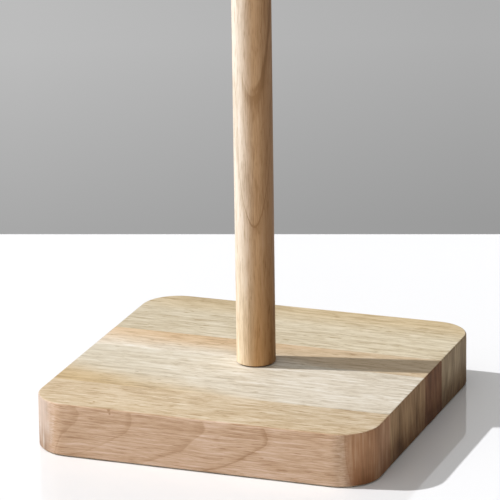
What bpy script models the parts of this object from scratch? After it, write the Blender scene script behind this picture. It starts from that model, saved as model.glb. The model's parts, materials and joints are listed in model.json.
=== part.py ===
"""A wooden paper towel holder: a square glued-up base and a screwed-in upright pole.

Metres, +Z up. The origin is on the table, under the middle of the base. The staves of the
base run along X, and -Y is the front. The pole and its bolt turn and rise together on +Z.
"""

import math

import bmesh
import bpy
from mathutils import Matrix, Vector

# Base
BASE_SIDE = 0.180
BASE_HEIGHT = 0.028  # from the table to the top of the wood
CORNER_RADIUS = 0.020
EDGE_EASE = 0.0012  # the rounding sanded onto the top and bottom edges
FRONT_STAVE = 0.035
MIDDLE_BACK_STAVE = 0.028
MIDDLE_GLUE_LINE = 0.002  # how far behind the pole's axis the two middle staves meet

# Feet: round rubber pads set into the underside
FOOT_DIAMETER = 0.016
FOOT_THICKNESS = 0.002
FOOT_STANDS_OUT = 0.0005  # how far the pads hold the wood off the table
FOOT_INSET = 0.024  # from the edge of the base to the middle of a pad

# Pole
POLE_DIAMETER = 0.020
POLE_LENGTH = 0.300
POLE_TOP_ROUND = 0.006
POLE_FOOT_EASE = 0.0003

# Fixings: an M8 hanger bolt in the pole, a tee nut in the base and a thin washer between
BOLT_DIAMETER = 0.008
THREAD_PITCH = 0.00125
THREADS_IN_NUT = 10
BOLT_IN_POLE = 0.030
BOLT_POINT = 0.006
BOLT_END_EASE = 0.0008
WASHER_DIAMETER = 0.018
WASHER_THICKNESS = 0.0005
NUT_RECESS = 0.003  # how deep the nut's flange is let into the underside
NUT_FLANGE_DIAMETER = 0.022
NUT_FLANGE_THICKNESS = 0.0015
NUT_WALL = 0.0012

GAP = 0.0003  # between pieces that touch or run in each other
CUT_OVERRUN = 0.001  # how far a cutter runs past the face it opens

CORNER_STEPS = 12
EASE_STEPS = 3
ROUND_STEPS = 48
TOP_ROUND_STEPS = 8
SMOOTH_ANGLE = math.radians(35)

# Places that follow from the sizes
WOOD_BOTTOM = FOOT_STANDS_OUT
HALF_SIDE = BASE_SIDE / 2
WASHER_BOTTOM = BASE_HEIGHT + GAP
POLE_BOTTOM = WASHER_BOTTOM + WASHER_THICKNESS + GAP
BOLT_RADIUS = BOLT_DIAMETER / 2
BOLT_HOLE_RADIUS = BOLT_RADIUS + GAP
NUT_BARREL_RADIUS = BOLT_HOLE_RADIUS + NUT_WALL
NUT_FLANGE_TOP = WOOD_BOTTOM + NUT_RECESS - GAP
NUT_BOTTOM = NUT_FLANGE_TOP - NUT_FLANGE_THICKNESS
NUT_TOP = NUT_BOTTOM + THREADS_IN_NUT * THREAD_PITCH
FOOT_OFFSET = HALF_SIDE - FOOT_INSET

# Colours are linear red, green, blue
STRAW_OAK = (0.62, 0.52, 0.37)
AMBER_OAK = (0.60, 0.47, 0.31)
PALE_OAK = (0.72, 0.63, 0.50)
TAN_OAK = (0.57, 0.43, 0.28)
POLE_OAK = (0.55, 0.39, 0.24)
BLACK_RUBBER = (0.02, 0.02, 0.02)
GREY_FIBRE = (0.06, 0.05, 0.045)
ZINC = (0.62, 0.63, 0.65)


def clear_scene():
    for obj in list(bpy.data.objects):
        bpy.data.objects.remove(obj, do_unlink=True)


def material(name, colour, roughness, metallic=0.0):
    made = bpy.data.materials.new(name)
    made.use_nodes = True
    shader = made.node_tree.nodes["Principled BSDF"]
    shader.inputs["Base Color"].default_value = (*colour, 1.0)
    shader.inputs["Roughness"].default_value = roughness
    shader.inputs["Metallic"].default_value = metallic
    return made


def new_object(name, shape, finish=None, parent=None, place=(0, 0, 0)):
    """Turns a bmesh into a smooth-shaded object that stands at place, under parent."""
    bmesh.ops.recalc_face_normals(shape, faces=shape.faces)
    mesh = bpy.data.meshes.new(name)
    shape.to_mesh(mesh)
    shape.free()
    mesh.shade_smooth()
    mesh.set_sharp_from_angle(angle=SMOOTH_ANGLE)
    if finish:
        mesh.materials.append(finish)
    obj = bpy.data.objects.new(name, mesh)
    obj.location = place
    obj.parent = parent
    bpy.context.scene.collection.objects.link(obj)
    return obj


def turned(profile):
    """A closed shape turned about Z from (radius, height) points that run from axis to axis,
    or all the way round a ring's section."""
    shape = bmesh.new()
    points = [shape.verts.new((radius, 0, height)) for radius, height in profile]
    closed = profile[0] == profile[-1]
    if closed:
        shape.verts.remove(points.pop())
        points.append(points[0])
    edges = [shape.edges.new(pair) for pair in zip(points, points[1:])]
    bmesh.ops.spin(
        shape, geom=edges, cent=(0, 0, 0), axis=(0, 0, 1), angle=math.tau,
        steps=ROUND_STEPS, use_merge=True,
    )
    bmesh.ops.remove_doubles(shape, verts=shape.verts, dist=1e-6)
    return shape


def cutter(name, radius, low, high, place=(0, 0)):
    """A hidden cylinder that opens a round hole from height low to height high."""
    shape = turned([(0, low), (radius, low), (radius, high), (0, high)])
    tool = new_object(name, shape, place=(*place, 0))
    tool.hide_render = True
    tool.display_type = "WIRE"
    return tool


def cut(obj, tools):
    for tool in tools:
        hole = obj.modifiers.new(tool.name, "BOOLEAN")
        hole.operation = "DIFFERENCE"
        hole.solver = "EXACT"
        hole.object = tool


def eased_block():
    """The whole base as one block: round upright corners and eased edges."""
    height = BASE_HEIGHT - WOOD_BOTTOM
    shape = bmesh.new()
    bmesh.ops.create_cube(shape, size=1.0)
    bmesh.ops.scale(shape, vec=(BASE_SIDE, BASE_SIDE, height), verts=shape.verts)
    middle = Vector((0, 0, WOOD_BOTTOM + height / 2))
    bmesh.ops.translate(shape, vec=middle, verts=shape.verts)
    upright = [edge for edge in shape.edges if abs(edge.verts[0].co.z - edge.verts[1].co.z) > EDGE_EASE]
    bmesh.ops.bevel(
        shape, geom=upright, offset=CORNER_RADIUS, offset_type="OFFSET", affect="EDGES",
        segments=CORNER_STEPS, profile=0.5, material=-1,
    )
    flat = [face for face in shape.faces if abs(face.normal.z) > 0.9]
    rim = list({edge for face in flat for edge in face.edges})
    bmesh.ops.bevel(
        shape, geom=rim, offset=EDGE_EASE, offset_type="OFFSET", affect="EDGES",
        segments=EASE_STEPS, profile=0.5, material=-1,
    )
    return shape


def trim(shape, y, keep):
    """Saws the block at y and keeps the side that keep (+1 or -1) points to."""
    sawn = bmesh.ops.bisect_plane(
        shape, geom=[*shape.verts, *shape.edges, *shape.faces], dist=1e-7,
        plane_co=(0, y, 0), plane_no=(0, keep, 0), clear_inner=True,
    )
    rim = [edge for edge in sawn["geom_cut"] if isinstance(edge, bmesh.types.BMEdge)]
    bmesh.ops.edgenet_fill(shape, edges=rim)


def stave(name, front, back, finish, holes):
    """One board of the base, between two glue lines, with every hole that reaches it."""
    shape = eased_block()
    if front > -HALF_SIDE:
        trim(shape, front + GAP / 2, +1)
    if back < HALF_SIDE:
        trim(shape, back - GAP / 2, -1)
    board = new_object(name, shape, finish)
    cut(board, [hole for hole, low, high in holes if low < back and high > front])
    return board


def foot_places():
    return {
        f"foot_{depth}_{side}": (x * FOOT_OFFSET, y * FOOT_OFFSET)
        for depth, y in (("front", -1), ("back", 1))
        for side, x in (("left", -1), ("right", 1))
    }


def base_holes():
    """Each cutter in the base, with the reach of its hole along Y."""
    below = WOOD_BOTTOM - CUT_OVERRUN
    flange_radius = NUT_FLANGE_DIAMETER / 2 + GAP
    barrel_radius = NUT_BARREL_RADIUS + GAP
    middle = [
        ("cut_bolt_hole", BOLT_HOLE_RADIUS, below, BASE_HEIGHT + CUT_OVERRUN),
        ("cut_nut_barrel", barrel_radius, below, NUT_TOP + GAP),
        ("cut_nut_flange", flange_radius, below, WOOD_BOTTOM + NUT_RECESS),
    ]
    holes = [(cutter(*sizes), -sizes[1], sizes[1]) for sizes in middle]
    foot_radius = FOOT_DIAMETER / 2 + GAP
    for name, (x, y) in foot_places().items():
        tool = cutter(f"cut_{name}", foot_radius, below, FOOT_THICKNESS + GAP, (x, y))
        holes.append((tool, y - foot_radius, y + foot_radius))
    return holes


def make_base():
    holes = base_holes()
    front_line = -HALF_SIDE + FRONT_STAVE
    back_line = MIDDLE_GLUE_LINE + MIDDLE_BACK_STAVE
    boards = [
        ("stave_front", -HALF_SIDE, front_line, TAN_OAK),
        ("stave_middle_front", front_line, MIDDLE_GLUE_LINE, PALE_OAK),
        ("stave_middle_back", MIDDLE_GLUE_LINE, back_line, AMBER_OAK),
        ("stave_back", back_line, HALF_SIDE, STRAW_OAK),
    ]
    for name, front, back, colour in boards:
        stave(name, front, back, material(f"{name}_wood", colour, 0.45), holes)


def make_feet():
    rubber = material("foot_rubber", BLACK_RUBBER, 0.8)
    radius = FOOT_DIAMETER / 2
    profile = [(0, 0), (radius, 0), (radius, FOOT_THICKNESS), (0, FOOT_THICKNESS)]
    for name, place in foot_places().items():
        new_object(name, turned(profile), rubber, place=(*place, 0))


def make_tee_nut():
    """A flange let into the underside, and a threaded barrel that stands up inside the wood."""
    flange_radius = NUT_FLANGE_DIAMETER / 2
    profile = [
        (BOLT_HOLE_RADIUS, NUT_BOTTOM), (flange_radius, NUT_BOTTOM),
        (flange_radius, NUT_FLANGE_TOP), (NUT_BARREL_RADIUS, NUT_FLANGE_TOP),
        (NUT_BARREL_RADIUS, NUT_TOP), (BOLT_HOLE_RADIUS, NUT_TOP),
        (BOLT_HOLE_RADIUS, NUT_BOTTOM),
    ]
    new_object("tee_nut", turned(profile), material("nut_zinc", ZINC, 0.35, 1.0))


def make_washer(parent):
    """Grips the bolt's thread, so it comes away with the pole."""
    inner, outer = BOLT_HOLE_RADIUS, WASHER_DIAMETER / 2
    profile = [
        (inner, 0), (outer, 0), (outer, WASHER_THICKNESS), (inner, WASHER_THICKNESS),
        (inner, 0),
    ]
    place = (0, 0, WASHER_BOTTOM - POLE_BOTTOM)
    fibre = material("washer_fibre", GREY_FIBRE, 0.8)
    new_object("pole_washer", turned(profile), fibre, parent, place)


def make_bolt(parent):
    """The hanger bolt: its pointed end is in the pole, its machine end reaches down the nut."""
    low = NUT_BOTTOM - POLE_BOTTOM
    profile = [
        (0, low), (BOLT_RADIUS - BOLT_END_EASE, low), (BOLT_RADIUS, low + BOLT_END_EASE),
        (BOLT_RADIUS, BOLT_IN_POLE - BOLT_POINT), (0, BOLT_IN_POLE),
    ]
    new_object("hanger_bolt", turned(profile), material("bolt_zinc", ZINC, 0.35, 1.0), parent)


def make_pole(parent):
    """A dowel with a rounded top and a blind hole up its foot for the bolt."""
    radius = POLE_DIAMETER / 2
    hole_depth = BOLT_IN_POLE + GAP
    rounding = min(POLE_TOP_ROUND, radius)
    profile = [
        (0, hole_depth), (BOLT_HOLE_RADIUS, hole_depth), (BOLT_HOLE_RADIUS, 0),
        (radius - POLE_FOOT_EASE, 0), (radius, POLE_FOOT_EASE),
    ]
    for step in range(TOP_ROUND_STEPS + 1):
        angle = math.pi / 2 * step / TOP_ROUND_STEPS
        reach = radius - rounding + rounding * math.cos(angle)
        profile.append((reach, POLE_LENGTH - rounding + rounding * math.sin(angle)))
    profile.append((0, POLE_LENGTH))
    new_object("pole", turned(profile), material("pole_wood", POLE_OAK, 0.4), parent)


def pole_axis():
    """The empty that the screwed-in pieces stand on: on the axis, at the pole's foot."""
    axis = bpy.data.objects.new("pole_axis", None)
    axis.matrix_world = Matrix.Translation((0, 0, POLE_BOTTOM))
    bpy.context.scene.collection.objects.link(axis)
    return axis


def main():
    clear_scene()
    make_base()
    make_feet()
    make_tee_nut()
    axis = pole_axis()
    make_washer(axis)
    make_bolt(axis)
    make_pole(axis)


main()
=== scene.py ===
import json
import math

import bmesh
import bpy
from mathutils import Matrix, Vector


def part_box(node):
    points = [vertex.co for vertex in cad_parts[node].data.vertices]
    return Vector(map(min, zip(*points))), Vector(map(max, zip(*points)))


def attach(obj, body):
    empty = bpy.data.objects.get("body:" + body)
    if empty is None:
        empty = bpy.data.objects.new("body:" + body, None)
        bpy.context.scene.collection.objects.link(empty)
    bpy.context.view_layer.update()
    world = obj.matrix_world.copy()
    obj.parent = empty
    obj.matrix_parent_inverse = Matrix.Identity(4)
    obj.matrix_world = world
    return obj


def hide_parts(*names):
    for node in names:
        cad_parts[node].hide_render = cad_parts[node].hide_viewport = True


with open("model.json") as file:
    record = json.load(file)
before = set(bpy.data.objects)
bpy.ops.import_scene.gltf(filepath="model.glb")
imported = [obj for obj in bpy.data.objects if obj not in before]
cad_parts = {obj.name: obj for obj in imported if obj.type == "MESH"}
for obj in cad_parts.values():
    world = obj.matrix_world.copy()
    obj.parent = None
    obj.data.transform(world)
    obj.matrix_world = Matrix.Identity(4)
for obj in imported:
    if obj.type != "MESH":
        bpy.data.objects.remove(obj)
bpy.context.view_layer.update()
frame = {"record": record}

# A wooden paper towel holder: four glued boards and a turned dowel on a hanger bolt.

MM = 0.001

# Camera, table and studio
CAMERA_PLACE = Vector((0.6802, -1.8593, 0.7182))
CAMERA_HEADING = math.radians(20.164)  # turned left from looking along +Y
CAMERA_PITCH = math.radians(17.660)  # looking down
CAMERA_ROLL = math.radians(-0.820)
CAMERA_LENS = 294.79
CAMERA_SENSOR = 36.0
TABLE_TURN = math.radians(17.43)  # the table's far edge, turned from X
TABLE_BACK = 0.306  # from the pole to the table's far edge
TABLE_REACH = 6.0
KEY_HEADING = math.radians(192.3)  # the lamp stands to the left and a little in front
KEY_RISE = math.radians(40.6)
KEY_SPREAD = math.radians(1.3)
KEY_STRENGTH = 3.3
WALL_RISES = (-0.2975, -0.255)  # at the table's far edge and a little above it, as sines
WALL_TONES = (0.375, 0.485)
WALL_HALF_WIDTH = 0.055  # from the camera's middle to where the side tones hold, as a sine
WALL_SIDE_TONES = (0.87, 1.04)  # right and left
UPPER_WALL_RISES = (0.10, 0.24)
UPPER_WALL_GAIN = 0.55
WALL_TOP_RISES = (0.36, 0.46)  # where it gives way to the soft light
WALL_END_TURNS = (0.35, 0.75)  # cosines of the turn from the camera's heading, end to start
GLOW_WAY = (-0.05, -0.76, 0.65)  # towards the brightest part of the soft light
GLOW_REACH = (0.25, 0.95)  # cosines of the turn from it
GLOW_TONES = (0.09, 0.83)
GLOW_TINT = "#fffdf9"
FLOOR_TONE = (0.9, 0.9, 0.9, 1.0)  # below the horizon, past the table
HORIZON_RISES = (-0.02, 0.05)

# Base
CORNER_RADIUS = 20 * MM
CORNER_STEPS = 24
EDGE_EASE = 1.0 * MM  # sanded top and bottom edges
EASE_STEPS = 4
BOARDS = ("stave_front", "stave_middle_front", "stave_middle_back", "stave_back")
PADS = ("foot_front_left", "foot_front_right", "foot_back_left", "foot_back_right")
FIT = 0.3 * MM  # slack round a piece in its recess

# Dowel and washer
DOWEL_TOP_ROUND = 6 * MM
DOWEL_FOOT_EASE = 0.4 * MM
DOWEL_RINGS_FACE = (0.343, -0.939, 0)  # the front of the holder, a little to its right
DRILL_POINT = 2.5 * MM
DOWEL_ABOVE_WASHER = 0.1 * MM
WASHER_THICKNESS = 0.5 * MM  # with what it stands over the base
WASHER_ABOVE_BASE = 0.02 * MM
WASHER_EASE = 0.12 * MM

# Hanger bolt and tee nut
THREAD_PITCH = 1.25 * MM
THREAD_DEPTH = 0.75 * MM
BORE_RADIUS = 4.3 * MM
SCREW_PITCH = 3.0 * MM
SCREW_DEPTH = 1.2 * MM
SCREW_RADIUS_LESS = 0.3 * MM  # than the machine thread's
SCREW_POINT = 8 * MM
SCREW_TIP = 0.08  # what is left of its radius at the very end
# The shank runs a little into both threads. These are above the dowel's foot
SHANK_START, SHANK_END = 1 * MM, 6.1 * MM
MACHINE_END, SCREW_START = 2 * MM, 5 * MM
SHANK_RADIUS_LESS = 0.35 * MM
FLANGE_THICKNESS = 1.5 * MM
BARREL_RADIUS = 5.5 * MM
PRONGS = 3
PRONG_LENGTH = 6 * MM
PRONG_HALF_WIDTH = 2.6 * MM
PRONG_THINNESS = 0.42  # its thickness over its width
PRONG_TIP = 0.2 * MM
PRONG_SUNK = 0.4 * MM  # how far its root goes into the flange
NOTCH_SIZE = (3.2 * MM, 4.0 * MM, 4 * MM)  # in the flange's rim, where a prong was bent up
NOTCH_INSET = 0.6 * MM  # of its middle from the rim

# Pads
PAD_RIM = 0.45 * MM  # the rounding round its face
PAD_DISH = 0.25 * MM  # how deep its middle is
PAD_DISH_SHARES = (0.52, 0.58)  # of its radius, from where the dish gets shallower to its end
PAD_POCKET_SLACK = 0.1 * MM  # above it

# Wood, with lengths in millimetres along x, y and z
WANDER = (60, 16, 16)  # how far apart the fibres' bends are
SWAY = 5.0  # how far the fibres bend, for noise of 1
RIPPLE = 0.6  # how far the rings do
SMEAR = 16  # how ragged a stain's border is
PORE_NOISE = (0.10, 0.22)  # where a pore starts and where it is full
PORE_WEIGHT = 0.26
MARK_BACK = 0.12  # the outer border of a single ring, as a share of its inner one
MARK_BORDER = 3  # each side of where it starts across
KNOT_WEIGHT = 0.5
TONE_PLACES = (0.10, 0.50, 0.90)  # of the dark, middle and light tones
SIDE_TINT_FROM = (0.50, 0.75)  # how squarely a face looks out, where its tint starts and is full
END_FROM = (0.25, 0.60)  # how squarely fibres are cut, where the sawn end starts and is full
END_BORDER = {"streak": 0.20, "patch": 0.25}  # what makes its border ragged
LACQUER_ROUGHNESS = 0.50
LACQUER_GLOSS = 0.10
LAYERS = {
    # Fibres that are bent or straight, lengths, and the noise's detail and roughness
    "fine": ("bent", (17, 1.7, 0.55), 4.0, 0.75),
    "streak": ("bent", (22, 3.2, 1.6), 3.0, 0.65),
    "cloud": ("straight", (55, 17, 12), 3.0, 0.55),
    "pore": ("bent", (8.0, 1.5, 0.6), 1.5, 0.6),
    "ray": ("straight", (40, 1.1, 26), 3.0, 0.6),
    "patch": ("straight", (60, 8, 24), 2.0, 0.5),
    "ripple": ("straight", (26, 15, 9), 3.0, 0.5),
}

TURN_STEPS = 96
THREAD_STEPS = 40
# One pitch of a thread: shares of its depth under the crest, and of the pitch
THREAD_SECTION = ((1, 0), (1, 0.12), (0, 0.45), (0, 0.57), (1, 0.9), (1, 1))
SMOOTH_ANGLE = math.radians(35)
SOFT = "SMOOTHSTEP"


def linear(code):
    """An sRGB hex colour as linear red, green, blue and alpha."""
    parts = [int(code[place:place + 2], 16) / 255 for place in (1, 3, 5)]
    bent = [part / 12.92 if part <= 0.04045 else ((part + 0.055) / 1.055) ** 2.4 for part in parts]
    return (*bent, 1.0)


def add(tree, kind, inputs=(), **settings):
    """Adds a shader node. Its inputs are values, sockets, or nodes whose first output is meant."""
    node = tree.nodes.new("ShaderNode" + kind)
    for name, value in settings.items():
        setattr(node, name, value)
    for name, value in inputs.items() if isinstance(inputs, dict) else enumerate(inputs):
        if isinstance(value, bpy.types.Node):
            value = value.outputs[0]
        if isinstance(value, bpy.types.NodeSocket):
            tree.links.new(value, node.inputs[name])
        else:
            node.inputs[name].default_value = value
    return node


# Materials

def rubberwood(name, look):
    """Rubberwood, planed and sanded, with a satin lacquer: a pale wood with short dark pores.

    It is one solid pattern with x along the fibres, so that a board's top, front and sawn ends
    agree: straight streaks on top, pointed arches where a face lies flat to the growth rings,
    and upright streaks where the fibres are cut across. A look gives sizes in millimetres, the
    weight of each layer of tone on a face and on a sawn end, and dark, middle and light tones.
    """
    material = bpy.data.materials.new(name)
    material.use_nodes = True
    tree = material.node_tree
    shader = tree.nodes["Principled BSDF"]
    coords = add(tree, "TexCoord")
    turn = look.get("turn", (0, 0, 0))
    mapped = {"Vector": coords.outputs["Object"], "Rotation": turn, "Scale": (1 / MM,) * 3}
    grain = add(tree, "Mapping", mapped)
    facing = add(tree, "Mapping", {"Vector": coords.outputs["Normal"], "Rotation": turn})
    seed = look["seed"]

    # The fibres wander a little from straight
    scale = [1 / length for length in WANDER]
    bend = add(tree, "Mapping", {"Vector": grain, "Location": (seed, 3, 7), "Scale": scale})
    bend = add(tree, "TexNoise", {"Vector": bend, "Scale": 1.0, "Detail": 3.0})
    bend = add(tree, "VectorMath", [bend.outputs["Color"], (0.5, 0.5, 0.5)], operation="SUBTRACT")
    sway = look.get("sway", SWAY)
    bent = add(tree, "VectorMath", [bend, (0, sway, sway), grain], operation="MULTIPLY_ADD")

    # Layers of tone round 0
    fibres = {"bent": bent, "straight": grain}
    layers = LAYERS | look.get("layers", {})
    tone = {}
    for number, (layer, (fibre, lengths, detail, roughness)) in enumerate(layers.items()):
        place = (seed * 5.3 + number * 9.1, seed * 3.7 - number * 4.3, seed * 7.9 + number * 6.7)
        scale = [1 / length for length in lengths]
        spot = add(tree, "Mapping", {"Vector": fibres[fibre], "Location": place, "Scale": scale})
        noise = {"Vector": spot, "Scale": 1.0, "Detail": detail, "Roughness": roughness}
        noise = add(tree, "TexNoise", noise)
        tone[layer] = add(tree, "Math", [noise, 0.5], operation="SUBTRACT")

    # Growth rings: the distance from the pith, with the log's taper and a ripple
    pith = add(tree, "VectorMath", [grain, (0, *look["pith"])], operation="SUBTRACT")
    pith = add(tree, "VectorMath", [pith, (0, 1, 1)], operation="MULTIPLY")
    reach = add(tree, "VectorMath", [pith], operation="LENGTH").outputs["Value"]
    along = add(tree, "SeparateXYZ", [grain]).outputs
    reach = add(tree, "Math", [along["X"], look["taper"], reach], operation="MULTIPLY_ADD")
    ripple = look.get("ripple", RIPPLE)
    reach = add(tree, "Math", [tone["ripple"], ripple, reach], operation="MULTIPLY_ADD")
    band = add(tree, "Math", [reach, 1 / look["ring"]], operation="MULTIPLY")
    band = add(tree, "TexNoise", {"W": band, "Scale": 1.0, "Detail": 2.0}, noise_dimensions="1D")
    tone["ring"] = add(tree, "Math", [band, 0.5], operation="SUBTRACT")

    # Pores are dashes about 3 mm long, drawn twice as wide as they are so that they show
    pore = add(tree, "MapRange", [tone["pore"], *PORE_NOISE], interpolation_type=SOFT)

    # The tone on a face along the fibres and on one that cuts across them, round 0.5
    sides = {}
    for side in ("face", "end"):
        total = 0.5
        for layer, weight in look[side].items():
            total = add(tree, "Math", [tone[layer], weight, total], operation="MULTIPLY_ADD")
        sides[side] = total
    darker = -look.get("pores", PORE_WEIGHT)
    face = add(tree, "Math", [pore, darker, sides["face"]], operation="MULTIPLY_ADD")

    # Single rings that stand out: (distance from pith, fade, strength, where they start across)
    for place, fade, strength, across in look.get("marks", ()):
        rise = add(tree, "MapRange", [reach, place - fade, place], interpolation_type=SOFT)
        outer = place + MARK_BACK * fade
        fall = add(tree, "MapRange", [reach, place, outer, strength, 0.0])
        mark = add(tree, "Math", [rise, fall], operation="MULTIPLY")
        shown = [along["Z"], across - MARK_BORDER, across + MARK_BORDER]
        shown = add(tree, "MapRange", shown)
        mark = add(tree, "Math", [mark, shown], operation="MULTIPLY")
        face = add(tree, "Math", [face, mark], operation="SUBTRACT")

    # Pin knots, no more than dark specks: (middle, radius)
    for middle, radius in look.get("knots", ()):
        away = add(tree, "VectorMath", [bent, middle], operation="DISTANCE").outputs["Value"]
        speck = [away, 0.5 * radius, 1.5 * radius, KNOT_WEIGHT, 0.0]
        knot = add(tree, "MapRange", speck, interpolation_type=SOFT)
        face = add(tree, "Math", [face, knot], operation="SUBTRACT")

    colours = {}
    for side, total in (("face", face), ("end", sides["end"])):
        ramp = add(tree, "ValToRGB", [total])
        dark, middle, light = (linear(code) for code in look[side + "_tones"])
        stops = ramp.color_ramp.elements
        stops.new(0.5)
        for stop, place, colour in zip(stops, TONE_PLACES, (dark, middle, light)):
            stop.position = place
            stop.color = colour
        # Broad stains and painted shade: (direction, from, to, tint, most)
        colour = ramp
        ragged = look.get("smear", SMEAR)
        for direction, start, stop, tint, most in look.get(side + "_stains", ()):
            spot = add(tree, "VectorMath", [grain, direction], operation="DOT_PRODUCT")
            spot = [tone["cloud"], ragged, spot.outputs["Value"]]
            spot = add(tree, "Math", spot, operation="MULTIPLY_ADD")
            spot = [spot, start, stop, 0.0, most]
            share = add(tree, "MapRange", spot, interpolation_type=SOFT)
            mixed = {0: share, 6: colour, 7: linear(tint)}
            colour = add(tree, "Mix", mixed, data_type="RGBA", blend_type="MULTIPLY").outputs[2]
        colours[side] = colour

    # A face that looks along y is tinted: redder than the top, as the wood's own face, and darker,
    # as painted shade
    colour = colours["face"]
    way = add(tree, "SeparateXYZ", [facing]).outputs
    if "side_tint_and_shade" in look:
        flat = add(tree, "Math", [way["Y"]], operation="ABSOLUTE")
        flat = add(tree, "MapRange", [flat, *SIDE_TINT_FROM], interpolation_type=SOFT)
        mixed = {0: flat, 6: colour, 7: linear(look["side_tint_and_shade"])}
        colour = add(tree, "Mix", mixed, data_type="RGBA", blend_type="MULTIPLY").outputs[2]

    # The sawn end starts, raggedly, where the fibres begin to run out of the surface
    cut = add(tree, "Math", [way["X"]], operation="ABSOLUTE")
    for layer, weight in END_BORDER.items():
        cut = add(tree, "Math", [tone[layer], weight, cut], operation="MULTIPLY_ADD")
    cut = [cut, *look.get("end_from", END_FROM)]
    cut = add(tree, "MapRange", cut, interpolation_type=SOFT)
    colour = add(tree, "Mix", {0: cut, 6: colour, 7: colours["end"]}, data_type="RGBA").outputs[2]
    tree.links.new(colour, shader.inputs["Base Color"])

    # The lacquer sinks into the pores and is duller on raised fibres and on the sawn end
    rough = LACQUER_ROUGHNESS
    for source, weight in ((tone["fine"], 0.25), (pore, 0.15), (cut, 0.08)):
        rough = add(tree, "Math", [source, weight, rough], operation="MULTIPLY_ADD")
    tree.links.new(rough.outputs[0], shader.inputs["Roughness"])
    height = add(tree, "Math", [pore, -0.6, tone["fine"]], operation="MULTIPLY_ADD")
    bump = add(tree, "Bump", {"Strength": 0.5, "Distance": 0.06 * MM, "Height": height})
    tree.links.new(bump.outputs[0], shader.inputs["Normal"])
    shader.inputs["Specular IOR Level"].default_value = LACQUER_GLOSS
    return material


BOARD_FACE = {"fine": 1.45, "streak": 0.6, "cloud": 0.4, "ring": 0.35}
BOARD_END = {"ray": 0.85, "patch": 0.8, "ring": 0.3}

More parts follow.
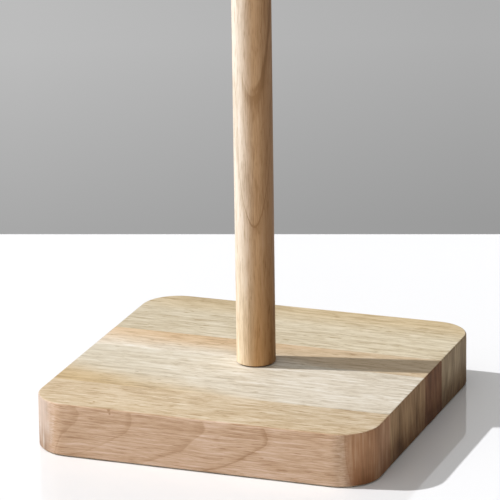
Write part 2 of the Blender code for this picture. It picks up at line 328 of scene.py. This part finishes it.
WOODS = {
    # Tan, with pin knots by its upper edge and arches on its redder front face, whose tint also
    # darkens it as painted shade
    "front_stave": {
        "seed": 3.1, "pith": (110, 24), "taper": 0.0385, "ring": 1.6, "ripple": 0.35,
        "face": {"fine": 1.75, "streak": 0.6, "cloud": 0.45, "ring": 0.25},
        "end": BOARD_END,
        "marks": [
            (201.46, 0.12, 0.22, -99), (201.46, 1.1, 0.12, -99), (200.15, 0.30, 0.20, -99),
            (198.7, 0.15, 0.15, -99), (197.6, 0.25, 0.16, -99),
        ],
        "knots": [((-56.5, -82, 28), 0.7), ((-45.5, -90, 27.5), 0.8), ((-45, -90, 25.5), 0.6)],
        "face_tones": ("#aa8f6e", "#ccb798", "#e3d5c0"),
        "end_tones": ("#9d8e83", "#c9b4a5", "#eff1f1"),
        # Painted light and shade: the first end stain leaves the left sawn end paler, where the
        # lamp lights it; the second darkens the sawn ends towards the bottom
        "end_stains": [
            ((1, 0, 0), -80, -60, "#dfbc9b", 1.0), ((0, 0, -1), -21, 2, "#c9b8a6", 1.0),
        ],
        # Painted shade: this tint darkens the front face against the top, besides making it redder
        "side_tint_and_shade": "#f9eaeb",
    },
    # The palest board
    "middle_front_stave": {
        "seed": 5.2, "pith": (190, 60), "taper": 0.012, "ring": 3.1,
        "face": BOARD_FACE, "end": BOARD_END,
        "face_tones": ("#b7a892", "#ddd3c2", "#f0ebe3"),
        "end_tones": ("#654c33", "#a68461", "#d6b68a"),
        # Painted shade: the sawn ends darken towards the bottom
        "end_stains": [((0, 0, -1), -21, 2, "#aa947c", 1.0)],
        "face_stains": [
            ((-0.25, -1, 0), 40, 70, "#efd9b4", 0.9), ((-1, 0, 0), -60, 80, "#f0efea", 1.0),
        ],
    },
    # Narrow, amber along its back glue line and pale in front; to the right the amber reaches
    # forward under the dowel's cast shadow, as painted shadow
    "middle_back_stave": {
        "seed": 7.7, "smear": 24, "pith": (170, 40), "taper": 0.010, "ring": 2.9,
        "face": BOARD_FACE, "end": BOARD_END,
        "face_tones": ("#b7a994", "#e0dacd", "#f2f3f3"),
        "end_tones": ("#523424", "#885f43", "#b38c64"),
        # Painted shade: the sawn ends darken towards the bottom
        "end_stains": [((0, 0, -1), -21, 2, "#aa947c", 1.0)],
        # The first stain is amber wood, and to the right also painted shadow under the dowel's
        # cast shadow
        "face_stains": [
            ((0.16, 1, 0), -14, 20, "#eedbc2", 1.0), ((-0.25, 1, 0), 8, 32, "#fff7ef", 1.0),
        ],
    },
    # Straw coloured, warmer at the back edge
    "back_stave": {
        "seed": 9.4, "pith": (-60, 70), "taper": 0.016, "ring": 3.4,
        "face": BOARD_FACE, "end": BOARD_END,
        "face_tones": ("#b09b7a", "#d6c9ae", "#ede3d0"),
        "end_tones": ("#6a5843", "#a58e70", "#d2be9c"),
        # Painted shade: the sawn ends darken towards the bottom
        "end_stains": [((0, 0, -1), -21, 2, "#aa947c", 1.0)],
        "face_stains": [
            ((0.02, 1, 0), 58, 88, "#f6e6c8", 0.7), ((-1, 0, 0), -60, 80, "#f0f0f1", 1.0),
        ],
    },
    # The dowel: rings open upwards on its front
    "pole_wood": {
        "seed": 1.3, "pith": (-400, 0), "taper": 0.119, "ring": 3.2, "ripple": 0.9, "sway": 3.0,
        "smear": 3.0, "pores": 0.24, "end_from": (0.55, 0.75),
        "layers": {
            "fine": ("bent", (10, 0.6, 0.6), 3.0, 0.65),
            "streak": ("bent", (26, 2.2, 2.2), 3.0, 0.6),
            "ripple": ("straight", (40, 9, 9), 3.0, 0.5),
        },
        "face": {"fine": 1.1, "streak": 0.7, "cloud": 0.5, "ring": 0.3},
        "end": {"fine": 0.8, "ring": 0.8},
        "marks": [
            (422.4, 0.18, 1.0, -20), (422.4, 1.5, 0.12, -20), (430.6, 2.4, 0.42, -2),
            (430.2, 1.0, 0.20, -6),
        ],
        # Painted shade: the first two stains darken the dowel's right side, away from the lamp,
        # leaving its left pale as a painted highlight; the third makes it yellower towards its
        # foot
        "face_stains": [
            ((0, 0, 1), -9, 1, "#d2b493", 1.0), ((0, 0, 1), 0, 8, "#c7beb5", 1.0),
            ((-1, 0, 0), -110, -25, "#fff8e7", 1.0),
        ],
        "face_tones": ("#c5b199", "#eddfce", "#f9f2eb"),
        "end_tones": ("#7a5637", "#a57c55", "#c6a27a"),
    },
}


def finish(name, look):
    """A plain finish: two mottled tones, with the grain of its making as bump."""
    material = bpy.data.materials.new(name)
    material.use_nodes = True
    tree = material.node_tree
    shader = tree.nodes["Principled BSDF"]
    coords = add(tree, "TexCoord").outputs["Object"]
    grit = {"Vector": coords, "Scale": 1 / (look["grit"] * MM), "Detail": 3.0}
    grit = add(tree, "TexNoise", grit)
    spread = add(tree, "MapRange", [grit, 0.3, 0.7])
    dark, light = (linear(code) for code in look["tones"])
    colour = add(tree, "Mix", {0: spread, 6: dark, 7: light}, data_type="RGBA").outputs[2]
    tree.links.new(colour, shader.inputs["Base Color"])
    rough = add(tree, "MapRange", [grit, 0.3, 0.7, *look["roughness"]])
    tree.links.new(rough.outputs[0], shader.inputs["Roughness"])
    bump = {"Strength": look["bump"], "Distance": look["depth"] * MM, "Height": grit}
    bump = add(tree, "Bump", bump)
    tree.links.new(bump.outputs[0], shader.inputs["Normal"])
    shader.inputs["Metallic"].default_value = look.get("metallic", 0.0)
    shader.inputs["Specular IOR Level"].default_value = look.get("specular", 0.5)
    return material


FINISHES = {
    # Bright zinc plate on pressed and rolled steel: bluish grey with a faint cloudy spangle
    "zinc_plated_steel": {
        "tones": ("#a9adb2", "#d0d3d6"), "grit": 0.9, "roughness": (0.26, 0.42),
        "bump": 0.15, "depth": 0.02, "metallic": 1.0,
    },
    # Moulded black rubber: matt, with the pebble of a blasted mould
    "moulded_rubber": {
        "tones": ("#151517", "#29292c"), "grit": 0.35, "roughness": (0.70, 0.85),
        "bump": 0.5, "depth": 0.04,
    },
    # Vulcanised fibre, stamped from sheet: dark grey brown and faintly mottled
    "vulcanised_fibre": {
        "tones": ("#241f1b", "#453b32"), "grit": 0.6, "roughness": (0.80, 0.92),
        "bump": 0.4, "depth": 0.03,
    },
    # A white laminate table top: glossy, with the slightest cloud
    "white_laminate": {
        "tones": ("#f1f2f5", "#f4f5f8"), "grit": 400, "roughness": (0.05, 0.08),
        "bump": 0.0, "depth": 0.01, "specular": 0.40,
    },
}


# Shapes

def new_piece(name, shape, material, body, node):
    """Turns a shape into a finished piece that stands for this frame node."""
    bmesh.ops.remove_doubles(shape, verts=shape.verts, dist=1e-7)
    bmesh.ops.recalc_face_normals(shape, faces=shape.faces)
    mesh = bpy.data.meshes.new(name)
    shape.to_mesh(mesh)
    shape.free()
    mesh.shade_smooth()
    mesh.set_sharp_from_angle(angle=SMOOTH_ANGLE)
    mesh.materials.append(material)
    piece = bpy.data.objects.new(name, mesh)
    bpy.context.scene.collection.objects.link(piece)
    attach(piece, body)
    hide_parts(node)


def arc(radius, height, size, start, end, steps):
    """(radius, height) points on a quarter round, with angles in degrees."""
    angles = [math.radians(start + (end - start) * step / steps) for step in range(steps + 1)]
    return [(radius + size * math.cos(angle), height + size * math.sin(angle)) for angle in angles]


def turned(profile, place=(0, 0), steps=TURN_STEPS):
    """A section of (radius, height) points, turned about the upright line through place."""
    shape = bmesh.new()
    points = [shape.verts.new((radius, 0, height)) for radius, height in profile]
    if profile[0][0] > 0:
        points.append(points[0])
    edges = [shape.edges.new(pair) for pair in zip(points, points[1:])]
    bmesh.ops.spin(
        shape, geom=edges, cent=(0, 0, 0), axis=(0, 0, 1), angle=math.tau, steps=steps,
        use_merge=True,
    )
    bmesh.ops.remove_doubles(shape, verts=shape.verts, dist=1e-7)
    bmesh.ops.recalc_face_normals(shape, faces=shape.faces)
    bmesh.ops.translate(shape, vec=(*place, 0), verts=shape.verts)
    return shape


def cap(shape, z, keep):
    """Cuts a shape level at z, keeps what is above (+1) or below (-1), and closes it."""
    cut = bmesh.ops.bisect_plane(
        shape, geom=[*shape.verts, *shape.edges, *shape.faces], dist=1e-8,
        plane_co=(0, 0, z), plane_no=(0, 0, keep), clear_inner=True,
    )
    rim = [item for item in cut["geom_cut"] if isinstance(item, bmesh.types.BMEdge)]
    bmesh.ops.edgeloop_fill(shape, edges=rim)


def threaded(radius, pitch, depth, low, high):
    """A right-hand screw thread round the Z axis between two heights, with closed ends."""
    shape = bmesh.new()
    start = low - 2 * pitch
    section = [(radius - under * depth, start + part * pitch) for under, part in THREAD_SECTION]
    points = [shape.verts.new((at, 0, height)) for at, height in section]
    edges = [shape.edges.new(pair) for pair in zip(points, points[1:])]
    rounds = math.ceil((high - low) / pitch) + 3
    bmesh.ops.spin(
        shape, geom=edges, cent=(0, 0, 0), axis=(0, 0, 1), dvec=(0, 0, pitch / THREAD_STEPS),
        angle=math.tau * rounds, steps=THREAD_STEPS * rounds,
    )
    bmesh.ops.remove_doubles(shape, verts=shape.verts, dist=1e-6)
    cap(shape, low, +1)
    cap(shape, high, -1)
    bmesh.ops.recalc_face_normals(shape, faces=shape.faces)
    return shape


def joined(shape, tools, operation="DIFFERENCE"):
    """The shape with the tools' volumes cut out of it, or added to it."""
    scene = bpy.context.scene
    helpers = []
    for part in (shape, *tools):
        helper = bpy.data.objects.new("helper", bpy.data.meshes.new("helper"))
        part.to_mesh(helper.data)
        scene.collection.objects.link(helper)
        helpers.append(helper)
    for tool, helper in zip(tools, helpers[1:]):
        tool.free()
        step = helpers[0].modifiers.new("join", "BOOLEAN")
        step.operation = operation
        step.solver = "EXACT"
        step.object = helper
    result = bpy.data.meshes.new_from_object(
        helpers[0].evaluated_get(bpy.context.evaluated_depsgraph_get())
    )
    shape.clear()
    shape.from_mesh(result)
    bpy.data.meshes.remove(result)
    for helper in helpers:
        bpy.data.objects.remove(helper, do_unlink=True)
    return shape


def eased_block(low, high):
    """The whole base as one block, with round upright corners and sanded edges."""
    shape = bmesh.new()
    bmesh.ops.create_cube(shape, size=1.0)
    bmesh.ops.scale(shape, vec=high - low, verts=shape.verts)
    bmesh.ops.translate(shape, vec=(high + low) / 2, verts=shape.verts)
    upright = [edge for edge in shape.edges if abs(edge.verts[0].co.z - edge.verts[1].co.z) > MM]
    bmesh.ops.bevel(
        shape, geom=upright, offset=CORNER_RADIUS, offset_type="OFFSET", affect="EDGES",
        segments=CORNER_STEPS, profile=0.5, material=-1,
    )
    flat = [face for face in shape.faces if abs(face.normal.z) > 0.9]
    rim = {edge for face in flat for edge in face.edges}
    bmesh.ops.bevel(
        shape, geom=list(rim), offset=EDGE_EASE, offset_type="OFFSET", affect="EDGES",
        segments=EASE_STEPS, profile=0.5, material=-1,
    )
    return shape


def sawn(shape, y, keep):
    """Saws the block at y and keeps its back (+1) or front (-1) part."""
    cut = bmesh.ops.bisect_plane(
        shape, geom=[*shape.verts, *shape.edges, *shape.faces], dist=1e-7,
        plane_co=(0, y, 0), plane_no=(0, keep, 0), clear_inner=True,
    )
    rim = [item for item in cut["geom_cut"] if isinstance(item, bmesh.types.BMEdge)]
    bmesh.ops.edgenet_fill(shape, edges=rim)


def drill(node, slack, low, high):
    """A round cutter from low to high over this frame node, wider than it by slack."""
    node_low, node_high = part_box(node)
    middle = (node_low + node_high) / 2
    radius = (node_high.x - node_low.x) / 2 + slack
    return turned([(0, low), (radius, low), (radius, high), (0, high)], middle.xy)


def slot_of(node):
    """The material slot that the record gives this frame node."""
    parts = frame["record"]["subparts"]
    return next(part["material_slot"] for part in parts if part["node"] == node)


# Pieces

def make_boards():
    """Four boards glued edge to edge, then shaped and drilled as one block."""
    boxes = [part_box(node) for node in BOARDS]
    low = Vector(min(box[0][axis] for box in boxes) for axis in range(3))
    high = Vector(max(box[1][axis] for box in boxes) for axis in range(3))
    lines = [(front[1].y + back[0].y) / 2 for front, back in zip(boxes, boxes[1:])]
    nut_low, nut_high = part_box("tee_nut")
    under = low.z - MM
    for number, node in enumerate(BOARDS):
        shape = eased_block(low, high)
        front, back = low.y, high.y
        if number > 0:
            front = lines[number - 1]
            sawn(shape, front, +1)
        if number < len(lines):
            back = lines[number]
            sawn(shape, back, -1)
        tools = []
        if front < nut_high.y and back > nut_low.y:
            barrel = BARREL_RADIUS + FIT
            tools.append(drill("hanger_bolt", FIT, under, high.z + MM))
            tools.append(drill("tee_nut", FIT, under, nut_low.z + FLANGE_THICKNESS + FIT))
            top = nut_high.z
            tools.append(turned([(0, under), (barrel, under), (barrel, top), (0, top)]))
        for pad in PADS:
            pad_low, pad_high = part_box(pad)
            if front < pad_low.y and back > pad_high.y:
                tools.append(drill(pad, FIT, under, pad_high.z + PAD_POCKET_SLACK))
        joined(shape, tools)
        slot = slot_of(node)
        name = node.replace("stave_", "") + "_board"
        new_piece(name, shape, rubberwood("rubberwood_" + name, WOODS[slot]), "base", node)


def make_dowel():
    """A turned dowel with a round top and a blind hole in its foot for the bolt."""
    low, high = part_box("pole")
    base_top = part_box("stave_front")[1].z
    bolt_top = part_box("hanger_bolt")[1].z
    radius = (high.x - low.x) / 2
    foot = base_top + WASHER_THICKNESS + DOWEL_ABOVE_WASHER
    ease, top_round = DOWEL_FOOT_EASE, DOWEL_TOP_ROUND
    bore_top = bolt_top + FIT
    profile = [(0, bore_top + DRILL_POINT), (BORE_RADIUS, bore_top), (BORE_RADIUS, foot)]
    profile += arc(radius - ease, foot + ease, ease, -90, 0, 4)
    profile += arc(radius - top_round, high.z - top_round, top_round, 0, 90, 16)
    profile.append((0, high.z))
    toward = Vector(DOWEL_RINGS_FACE).normalized()
    up = Vector((0, 0, 1))
    turn = Matrix((up, toward, up.cross(toward))).to_euler("XYZ")
    material = rubberwood("rubberwood_dowel", WOODS["pole_wood"] | {"turn": turn})
    new_piece("dowel", turned(profile, steps=128), material, "upright", "pole")


def make_washer(material):
    """A thin washer, narrower than the dowel, that its foot turns on."""
    low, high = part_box("pole_washer")
    base_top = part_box("stave_front")[1].z
    outer = (high.x - low.x) / 2
    bottom, top = base_top + WASHER_ABOVE_BASE, base_top + WASHER_THICKNESS
    ease = WASHER_EASE
    profile = [(BORE_RADIUS, bottom), (outer - ease, bottom), (outer, bottom + ease)]
    profile += [(outer, top - ease), (outer - ease, top), (BORE_RADIUS, top)]
    new_piece("thin_washer", turned(profile), material, "pole_seat", "pole_washer")


def make_bolt(material):
    """A hanger bolt: machine thread below, plain shank, and a wood screw's point above."""
    low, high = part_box("hanger_bolt")
    radius = (high.x - low.x) / 2
    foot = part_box("pole")[0].z
    machine = threaded(radius, THREAD_PITCH, THREAD_DEPTH, low.z, foot + MACHINE_END)
    for vert in machine.verts:
        inset = max(0.0, THREAD_DEPTH - (vert.co.z - low.z))
        if vert.co.xy.length > radius - inset:
            vert.co.xy *= (radius - inset) / vert.co.xy.length
    shank = radius - SHANK_RADIUS_LESS
    bottom, top = foot + SHANK_START, foot + SHANK_END
    profile = [(0, bottom), (shank - 0.3 * MM, bottom), (shank, bottom + 0.3 * MM)]
    profile += [(shank, top - 0.6 * MM), (shank - 0.6 * MM, top), (0, top)]
    crest = radius - SCREW_RADIUS_LESS
    screw = threaded(crest, SCREW_PITCH, SCREW_DEPTH, foot + SCREW_START, high.z)
    for vert in screw.verts:
        from_tip = (high.z - vert.co.z) / SCREW_POINT
        vert.co.xy *= min(1.0, SCREW_TIP + (1 - SCREW_TIP) * from_tip)
    joined(machine, [turned(profile), screw], "UNION")
    new_piece("hanger_bolt_threaded", machine, material, "upright", "hanger_bolt")


def make_nut(material):
    """A tee nut: a pressed flange with three prongs bent up out of it, and a threaded barrel."""
    low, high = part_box("tee_nut")
    flange = (high.x - low.x) / 2
    top = low.z + FLANGE_THICKNESS
    ease = 0.3 * MM
    profile = [(BORE_RADIUS + ease, low.z), (flange - ease, low.z), (flange, low.z + ease)]
    profile += [(flange, top), (BARREL_RADIUS + ease, top), (BARREL_RADIUS, top + ease)]
    profile += [(BARREL_RADIUS, high.z - ease), (BARREL_RADIUS - ease, high.z)]
    profile += [(BORE_RADIUS, high.z), (BORE_RADIUS, low.z + ease)]
    nut = turned(profile)
    notches = []
    prongs = []
    for number in range(PRONGS):
        spin = Matrix.Rotation(math.tau * number / PRONGS, 3, "Z")
        notch = bmesh.new()
        bmesh.ops.create_cube(notch, size=1.0)
        bmesh.ops.scale(notch, vec=NOTCH_SIZE, verts=notch.verts)
        bmesh.ops.translate(notch, vec=(flange - NOTCH_INSET, 0, low.z), verts=notch.verts)
        bmesh.ops.rotate(notch, cent=(0, 0, 0), matrix=spin, verts=notch.verts)
        notches.append(notch)
        prong = bmesh.new()
        bmesh.ops.create_cone(
            prong, cap_ends=True, segments=4, radius1=PRONG_HALF_WIDTH, radius2=PRONG_TIP,
            depth=PRONG_LENGTH, matrix=Matrix.Rotation(math.radians(45), 4, "Z"),
        )
        bmesh.ops.scale(prong, vec=(PRONG_THINNESS, 1.0, 1.0), verts=prong.verts)
        place = (flange - PRONG_HALF_WIDTH, 0, top - PRONG_SUNK + PRONG_LENGTH / 2)
        bmesh.ops.translate(prong, vec=place, verts=prong.verts)
        bmesh.ops.rotate(prong, cent=(0, 0, 0), matrix=spin, verts=prong.verts)
        prongs.append(prong)
    joined(nut, notches)
    joined(nut, prongs, "UNION")
    new_piece("pronged_tee_nut", nut, material, "base", "tee_nut")


def make_pads(material):
    """Rubber pads let into the underside, with a round rim and a ring moulded in the face."""
    for node in PADS:
        low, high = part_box(node)
        middle = (low + high) / 2
        radius = (high.x - low.x) / 2
        dish = low.z + PAD_DISH
        inner, outer = (radius * share for share in PAD_DISH_SHARES)
        profile = [(0, dish), (inner, dish), (outer, low.z)]
        profile += arc(radius - PAD_RIM, low.z + PAD_RIM, PAD_RIM, -90, 0, 6)
        profile += [(radius, high.z), (0, high.z)]
        name = node.replace("foot_", "pad_")
        new_piece(name, turned(profile, middle.xy, 64), material, "base", node)


# Studio

def make_table():
    """A plain white table top that ends a little behind the holder."""
    shape = bmesh.new()
    bmesh.ops.create_grid(shape, x_segments=1, y_segments=1, size=TABLE_REACH)
    bmesh.ops.translate(shape, vec=(0, TABLE_BACK - TABLE_REACH, 0), verts=shape.verts)
    spin = Matrix.Rotation(TABLE_TURN, 3, "Z")
    bmesh.ops.rotate(shape, cent=(0, 0, 0), matrix=spin, verts=shape.verts)
    mesh = bpy.data.meshes.new("table_top")
    shape.to_mesh(mesh)
    shape.free()
    mesh.materials.append(finish("white_laminate", FINISHES["white_laminate"]))
    table = bpy.data.objects.new("table_top", mesh)
    bpy.context.scene.collection.objects.link(table)


def make_studio():
    """Soft light all round, brightest high in front, over a grey wall behind the table."""
    world = bpy.data.worlds.new("studio")
    bpy.context.scene.world = world
    world.use_nodes = True
    tree = world.node_tree
    way = add(tree, "TexCoord").outputs["Generated"]
    rise = add(tree, "SeparateXYZ", [way]).outputs["Z"]
    ahead = (-math.sin(CAMERA_HEADING), math.cos(CAMERA_HEADING), 0)
    left = (-math.cos(CAMERA_HEADING), -math.sin(CAMERA_HEADING), 0)
    turns = {}
    for name, direction in (("ahead", ahead), ("left", left), ("glow", GLOW_WAY)):
        dot = add(tree, "VectorMath", [way, direction], operation="DOT_PRODUCT")
        turns[name] = dot.outputs["Value"]

    # The wall is lighter to the left, and higher up, where the table top mirrors it
    wall = add(tree, "MapRange", [rise, *WALL_RISES, *WALL_TONES])
    side = [turns["left"], -WALL_HALF_WIDTH, WALL_HALF_WIDTH, *WALL_SIDE_TONES]
    side = add(tree, "MapRange", side)
    wall = add(tree, "Math", [wall, side], operation="MULTIPLY")
    upper = add(tree, "MapRange", [rise, *UPPER_WALL_RISES, 0.0, UPPER_WALL_GAIN])
    wall = add(tree, "Math", [wall, upper], operation="ADD")
    facing = add(tree, "MapRange", [turns["ahead"], *WALL_END_TURNS], interpolation_type=SOFT)
    height = add(tree, "MapRange", [rise, *WALL_TOP_RISES, 1.0, 0.0], interpolation_type=SOFT)
    facing = add(tree, "Math", [facing, height], operation="MULTIPLY")

    glow = [turns["glow"], *GLOW_REACH, *GLOW_TONES]
    glow = add(tree, "MapRange", glow, interpolation_type=SOFT)
    glow = {0: linear(GLOW_TINT)[:3], "Scale": glow}
    glow = add(tree, "VectorMath", glow, operation="SCALE")
    over = add(tree, "MapRange", [rise, *HORIZON_RISES], interpolation_type=SOFT)
    shade = add(tree, "Mix", {0: over, 6: FLOOR_TONE, 7: glow}, data_type="RGBA").outputs[2]
    shade = add(tree, "Mix", {0: facing, 6: shade, 7: wall}, data_type="RGBA").outputs[2]
    tree.links.new(shade, tree.nodes["Background"].inputs["Color"])


def make_key_light():
    """A small far lamp on the left, which throws the shadows."""
    data = bpy.data.lights.new("key", "SUN")
    data.energy = KEY_STRENGTH
    data.angle = KEY_SPREAD
    key = bpy.data.objects.new("key", data)
    toward = Vector((math.cos(KEY_HEADING), math.sin(KEY_HEADING), math.tan(KEY_RISE)))
    key.rotation_euler = toward.to_track_quat("Z", "Y").to_euler()
    key.location = toward
    bpy.context.scene.collection.objects.link(key)


def make_camera():
    """A long lens from a little above, in front and to the right."""
    data = bpy.data.cameras.new("camera")
    data.lens = CAMERA_LENS
    data.sensor_width = CAMERA_SENSOR
    data.clip_start = 0.05
    data.clip_end = 50
    camera = bpy.data.objects.new("camera", data)
    turn = Matrix.Rotation(CAMERA_HEADING, 4, "Z")
    tip = Matrix.Rotation(math.pi / 2 - CAMERA_PITCH, 4, "X")
    roll = Matrix.Rotation(CAMERA_ROLL, 4, "Z")
    camera.matrix_world = Matrix.Translation(CAMERA_PLACE) @ turn @ tip @ roll
    bpy.context.scene.collection.objects.link(camera)
    bpy.context.scene.camera = camera


bpy.context.scene.view_settings.view_transform = "Standard"
make_camera()
make_table()
make_studio()
make_key_light()
make_boards()
make_dowel()
make_washer(finish("vulcanised_fibre", FINISHES["vulcanised_fibre"]))
zinc = finish("zinc_plated_steel", FINISHES["zinc_plated_steel"])
make_bolt(zinc)
make_nut(zinc)
make_pads(finish("moulded_rubber", FINISHES["moulded_rubber"]))
